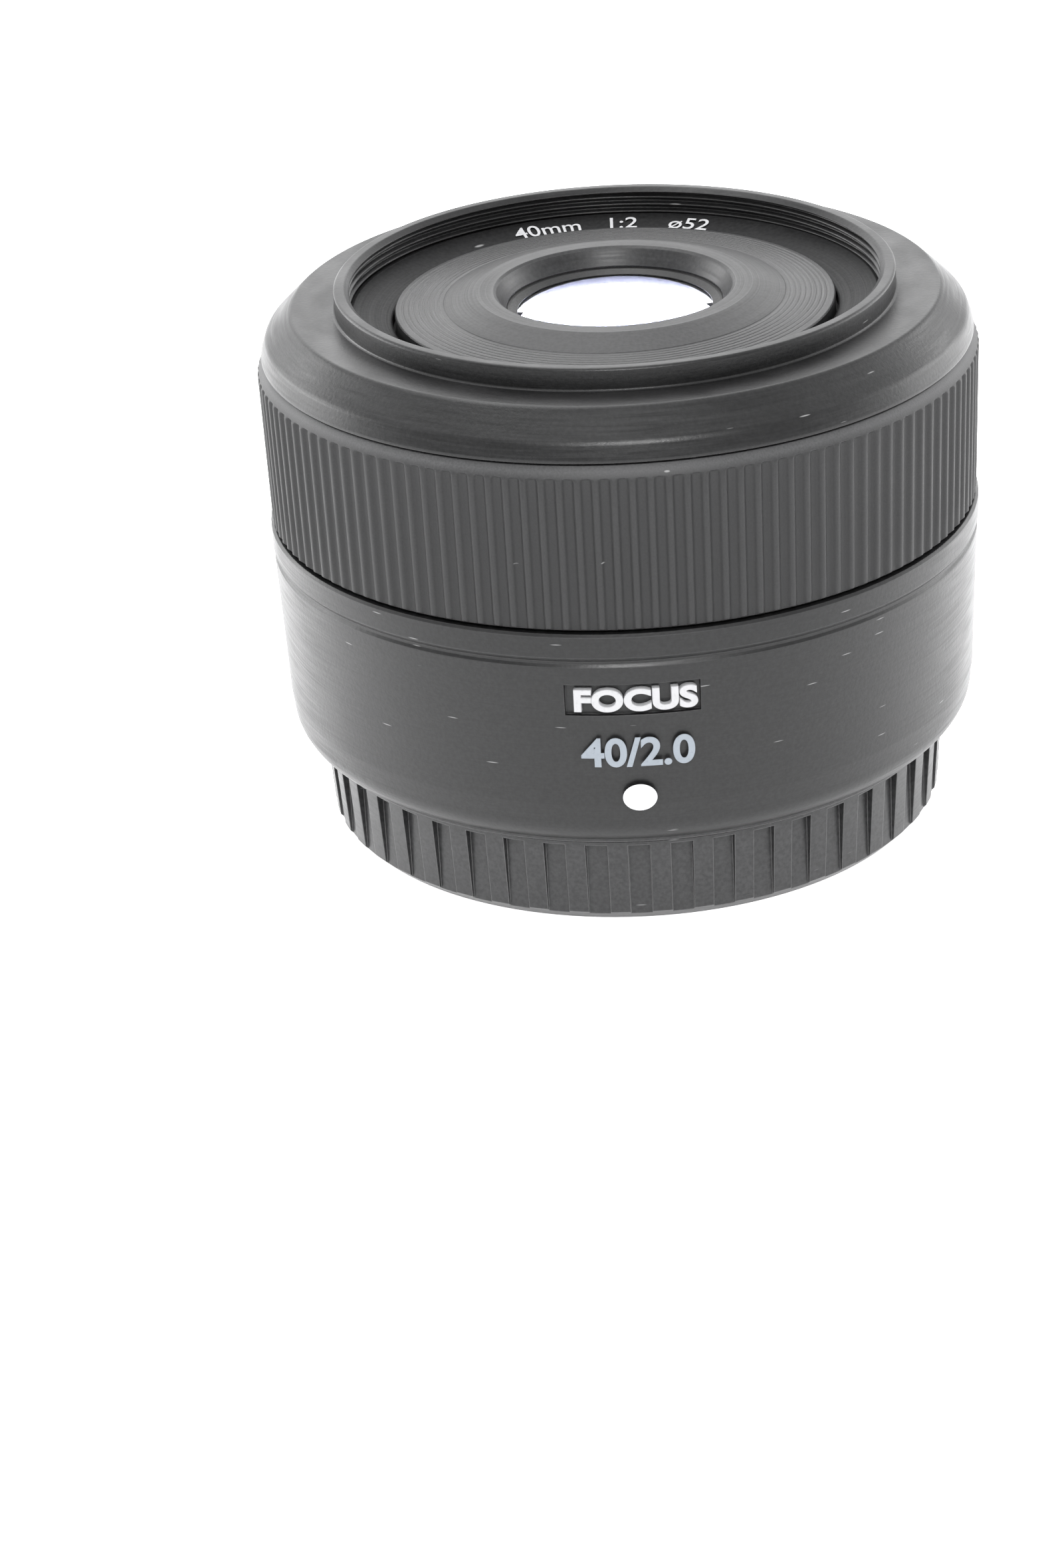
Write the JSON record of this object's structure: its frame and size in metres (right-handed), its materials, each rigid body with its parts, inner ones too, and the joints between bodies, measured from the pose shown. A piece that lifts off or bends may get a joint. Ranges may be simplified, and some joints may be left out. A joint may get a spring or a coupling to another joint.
{
  "type": "prime camera lens",
  "caption": "Compact autofocus prime lens standing on its rear cap: ribbed control ring, screw-in filter thread, sliding front barrel, bayonet mount and leaf iris inside.",
  "frame": {"origin": "centre of the rear cap's underside, on the optical axis", "axes": "+Z along the optical axis from the mount towards the subject; -Y is the side that carries the badge and the mounting index dot"},
  "size_m": [0.07, 0.07, 0.0548],
  "materials": {
    "shell_black": "fine satin texture",
    "ring_black": "moulded ribs, satin",
    "cap_black": "satin",
    "mount_black": "smooth, hard",
    "frame_black": "glass-filled, dull",
    "face_black": "turned look, satin",
    "glass_element": "coated",
    "steel": "ground",
    "screw_steel": "blackened",
    "contact_gold": "gold plated",
    "bush_bronze": "bronze",
    "nut_plastic": "natural acetal",
    "board_green": "solder mask",
    "chip_black": "moulded epoxy",
    "flex_amber": "polyimide",
    "felt": "felt",
    "blade_black": "dry black coating",
    "anodised": "black anodised"
  },
  "bodies": {
    "barrel": {"bayonet_mount": "mount_black", "mount_screws": "screw_steel", "contact_block": "frame_black", "contact_pins": "contact_gold", "contact_flex": "flex_amber", "rear_baffle": "frame_black", "baffle_screws": "screw_steel", "main_chassis": "frame_black", "ring_carrier": "frame_black", "frame_screws": "screw_steel", "rear_barrel": "shell_black", "front_bezel": "shell_black", "name_ring": "face_black", "barrel_seal": "felt", "encoder_sensors": "chip_black", "guide_rod_main": "steel", "guide_rod_side": "steel", "focus_motor": "steel", "motor_bracket": "steel", "bracket_screws": "screw_steel", "main_pcb": "board_green", "pcb_components": "chip_black", "pcb_screws": "screw_steel", "home_sensor": "chip_black"},
    "optical_unit": {"inner_barrel": "face_black", "front_cell": "frame_black", "front_retaining_ring": "anodised", "doublet_retainer": "anodised", "unit_carrier": "frame_black", "guide_bushes": "bush_bronze", "focus_nut": "nut_plastic", "home_flag": "frame_black", "unit_screws": "screw_steel", "rear_cell": "frame_black", "rear_retaining_ring": "anodised", "iris_base": "frame_black", "iris_cover": "frame_black", "iris_motor": "steel", "lens_1": "glass_element", "lens_2": "glass_element", "lens_3": "glass_element", "lens_4": "glass_element", "lens_5": "glass_element", "lens_6": "glass_element"},
    "control_ring": {"focus_ring": "ring_black", "encoder_comb": "frame_black"},
    "lead_screw_shaft": {"lead_screw": "steel"},
    "iris_drive": {"iris_ring": "nut_plastic"},
    "iris_pinion_shaft": {"iris_pinion": "nut_plastic"},
    "cap": {"rear_cap": "cap_black"},
    "blade_1": {"iris_blade_1": "blade_black"},
    "blade_2": {"iris_blade_2": "blade_black"},
    "blade_3": {"iris_blade_3": "blade_black"},
    "blade_4": {"iris_blade_4": "blade_black"},
    "blade_5": {"iris_blade_5": "blade_black"},
    "blade_6": {"iris_blade_6": "blade_black"},
    "blade_7": {"iris_blade_7": "blade_black"},
    "blade_8": {"iris_blade_8": "blade_black"},
    "blade_9": {"iris_blade_9": "blade_black"}
  },
  "joints": [
    {"name": "control_ring_turn", "type": "hinge", "parent": "barrel", "child": "control_ring", "pos_m": [0, 0, 0.0402], "axis": [0, 0, 1], "continuous": true},
    {"name": "focus_travel", "type": "slide", "parent": "barrel", "child": "optical_unit", "axis": [0, 0, 1], "range_m": [-0.0068, 0]},
    {"name": "lead_screw_turn", "type": "hinge", "parent": "barrel", "child": "lead_screw_shaft", "pos_m": [-0.02217, 0.0128, 0.034], "axis": [0, 0, 1], "range_deg": [-2452, 4]},
    {"name": "iris_drive_turn", "type": "hinge", "parent": "optical_unit", "child": "iris_drive", "pos_m": [0, 0, 0.04], "axis": [0, 0, 1], "range_deg": [0, 19.56]},
    {"name": "iris_pinion_turn", "type": "hinge", "parent": "optical_unit", "child": "iris_pinion_shaft", "pos_m": [0, 0.0162, 0.04], "axis": [0, 0, 1], "range_deg": [-245, 1]},
    {"name": "blade_1_turn", "type": "hinge", "parent": "optical_unit", "child": "blade_1", "pos_m": [0.0124, 0, 0.038], "axis": [0, 0, 1], "range_deg": [-0.2, 31.6]},
    {"name": "blade_2_turn", "type": "hinge", "parent": "optical_unit", "child": "blade_2", "pos_m": [0.0095, 0.00797, 0.038], "axis": [0, 0, 1], "range_deg": [-0.2, 31.6]},
    {"name": "blade_3_turn", "type": "hinge", "parent": "optical_unit", "child": "blade_3", "pos_m": [0.00215, 0.01221, 0.038], "axis": [0, 0, 1], "range_deg": [-0.2, 31.6]},
    {"name": "blade_4_turn", "type": "hinge", "parent": "optical_unit", "child": "blade_4", "pos_m": [-0.0062, 0.01074, 0.038], "axis": [0, 0, 1], "range_deg": [-0.2, 31.6]},
    {"name": "blade_5_turn", "type": "hinge", "parent": "optical_unit", "child": "blade_5", "pos_m": [-0.01165, 0.00424, 0.038], "axis": [0, 0, 1], "range_deg": [-0.2, 31.6]},
    {"name": "blade_6_turn", "type": "hinge", "parent": "optical_unit", "child": "blade_6", "pos_m": [-0.01165, -0.00424, 0.038], "axis": [0, 0, 1], "range_deg": [-0.2, 31.6]},
    {"name": "blade_7_turn", "type": "hinge", "parent": "optical_unit", "child": "blade_7", "pos_m": [-0.0062, -0.01074, 0.038], "axis": [0, 0, 1], "range_deg": [-0.2, 31.6]},
    {"name": "blade_8_turn", "type": "hinge", "parent": "optical_unit", "child": "blade_8", "pos_m": [0.00215, -0.01221, 0.038], "axis": [0, 0, 1], "range_deg": [-0.2, 31.6]},
    {"name": "blade_9_turn", "type": "hinge", "parent": "optical_unit", "child": "blade_9", "pos_m": [0.0095, -0.00797, 0.038], "axis": [0, 0, 1], "range_deg": [-0.2, 31.6]},
    {"name": "cap_twist", "type": "hinge", "parent": "barrel", "child": "cap", "pos_m": [0, 0, 0.007], "axis": [0, 0, 1], "range_deg": [0, 45]}
  ],
  "couplings": [
    {"joint": "lead_screw_turn", "follows": "focus_travel", "rad_per_m": 6283.2},
    {"joint": "iris_pinion_turn", "follows": "iris_drive_turn", "ratio": -12.5},
    {"joint": "blade_1_turn", "follows": "iris_drive_turn", "ratio": 1.6002},
    {"joint": "blade_2_turn", "follows": "iris_drive_turn", "ratio": 1.6002},
    {"joint": "blade_3_turn", "follows": "iris_drive_turn", "ratio": 1.6002},
    {"joint": "blade_4_turn", "follows": "iris_drive_turn", "ratio": 1.6002},
    {"joint": "blade_5_turn", "follows": "iris_drive_turn", "ratio": 1.6002},
    {"joint": "blade_6_turn", "follows": "iris_drive_turn", "ratio": 1.6002},
    {"joint": "blade_7_turn", "follows": "iris_drive_turn", "ratio": 1.6002},
    {"joint": "blade_8_turn", "follows": "iris_drive_turn", "ratio": 1.6002},
    {"joint": "blade_9_turn", "follows": "iris_drive_turn", "ratio": 1.6002}
  ]
}
